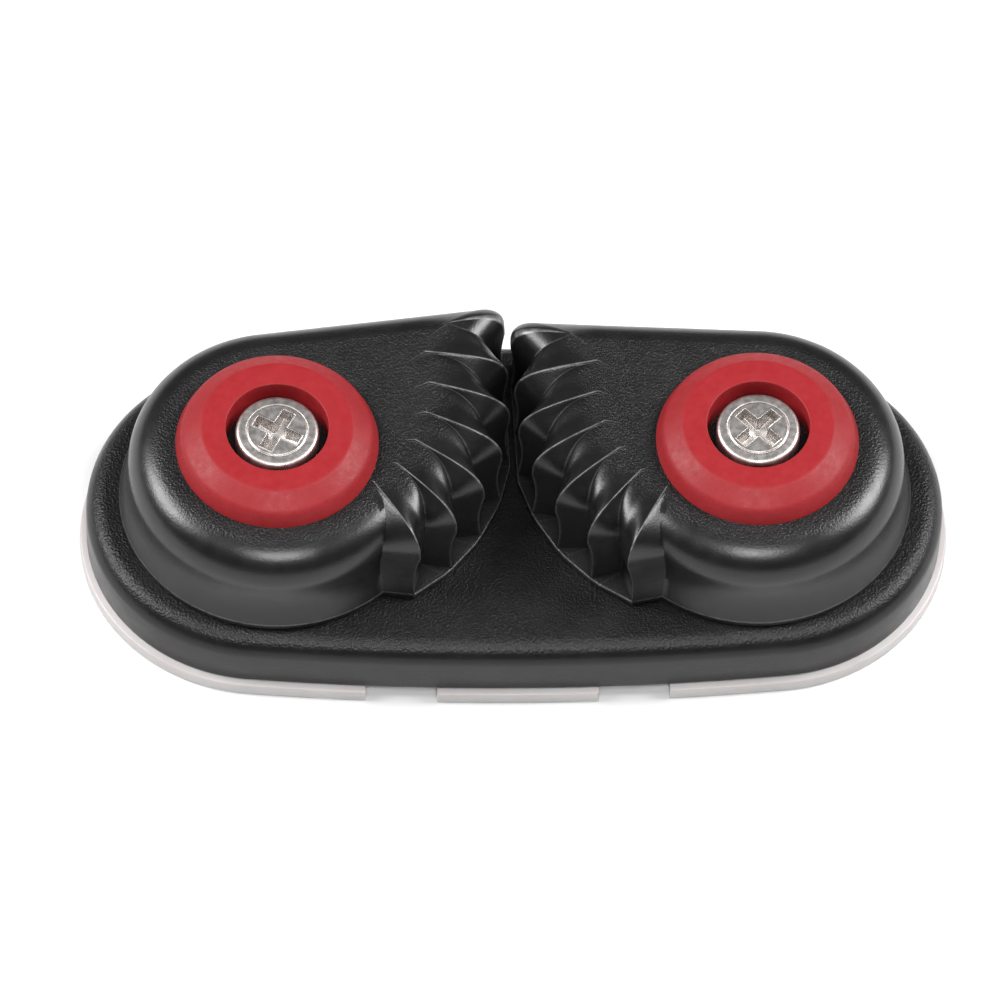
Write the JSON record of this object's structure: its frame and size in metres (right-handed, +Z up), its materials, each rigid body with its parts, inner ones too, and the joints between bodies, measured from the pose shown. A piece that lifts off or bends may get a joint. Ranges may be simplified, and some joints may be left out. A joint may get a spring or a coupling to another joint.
{
  "type": "cam cleat",
  "caption": "Rope cam cleat: two mirrored toothed spring-closed cams on ball bearings, with red caps and mounting screws, on an obround deck base.",
  "frame": {"origin": "on the deck, at the middle of the underside of the mounting pad", "axes": "+X from the left cam's screw to the right cam's screw, +Y along the rope towards the hauling side where the cam noses meet, +Z up off the deck"},
  "size_m": [0.0694, 0.031, 0.0276],
  "materials": {
    "base_plastic": "satin black glass-filled nylon with a fine pebble grain",
    "cam_plastic": "satin black glass-filled nylon, pebbled on the flat top and smoother on the walls and teeth",
    "cap_plastic": "matte red moulded plastic",
    "pad_plastic": "pale translucent plastic",
    "screw_steel": "machined stainless steel",
    "race_steel": "turned stainless steel",
    "ball_plastic": "polished acetal",
    "spacer_plastic": "moulded acetal",
    "spring_steel": "drawn stainless wire"
  },
  "bodies": {
    "base": {"base": "base_plastic", "mounting_pad": "pad_plastic", "left_cap": "cap_plastic", "right_cap": "cap_plastic", "left_screw": "screw_steel", "right_screw": "screw_steel", "left_bearing_race": "race_steel", "right_bearing_race": "race_steel", "left_cam_spring": "spring_steel", "right_cam_spring": "spring_steel"},
    "left_cam": {"left_cam": "cam_plastic"},
    "right_cam": {"right_cam": "cam_plastic"},
    "left_bearing": {"left_upper_balls": "ball_plastic", "left_lower_balls": "ball_plastic", "left_ball_spacer": "spacer_plastic"},
    "right_bearing": {"right_upper_balls": "ball_plastic", "right_lower_balls": "ball_plastic", "right_ball_spacer": "spacer_plastic"}
  },
  "joints": [
    {"name": "left_cam_pivot", "type": "hinge", "parent": "base", "child": "left_cam", "pos_m": [-0.019, 0, 0.0105], "axis": [0, 0, 1], "range_deg": [0, 52], "stiffness_Nm_per_rad": 0.02, "springref_deg": -34.38, "deforming": ["left_cam_spring"]},
    {"name": "right_cam_pivot", "type": "hinge", "parent": "base", "child": "right_cam", "pos_m": [0.019, 0, 0.0105], "axis": [0, 0, 1], "range_deg": [-52, 0], "stiffness_Nm_per_rad": 0.02, "springref_deg": 34.38, "deforming": ["right_cam_spring"]},
    {"name": "left_ball_orbit", "type": "hinge", "parent": "base", "child": "left_bearing", "pos_m": [-0.019, 0, 0.0105], "axis": [0, 0, 1], "range_deg": [0, 31]},
    {"name": "right_ball_orbit", "type": "hinge", "parent": "base", "child": "right_bearing", "pos_m": [0.019, 0, 0.0105], "axis": [0, 0, 1], "range_deg": [-31, 0]}
  ],
  "couplings": [
    {"joint": "left_ball_orbit", "follows": "left_cam_pivot", "ratio": 0.5887},
    {"joint": "right_ball_orbit", "follows": "right_cam_pivot", "ratio": 0.5887}
  ]
}
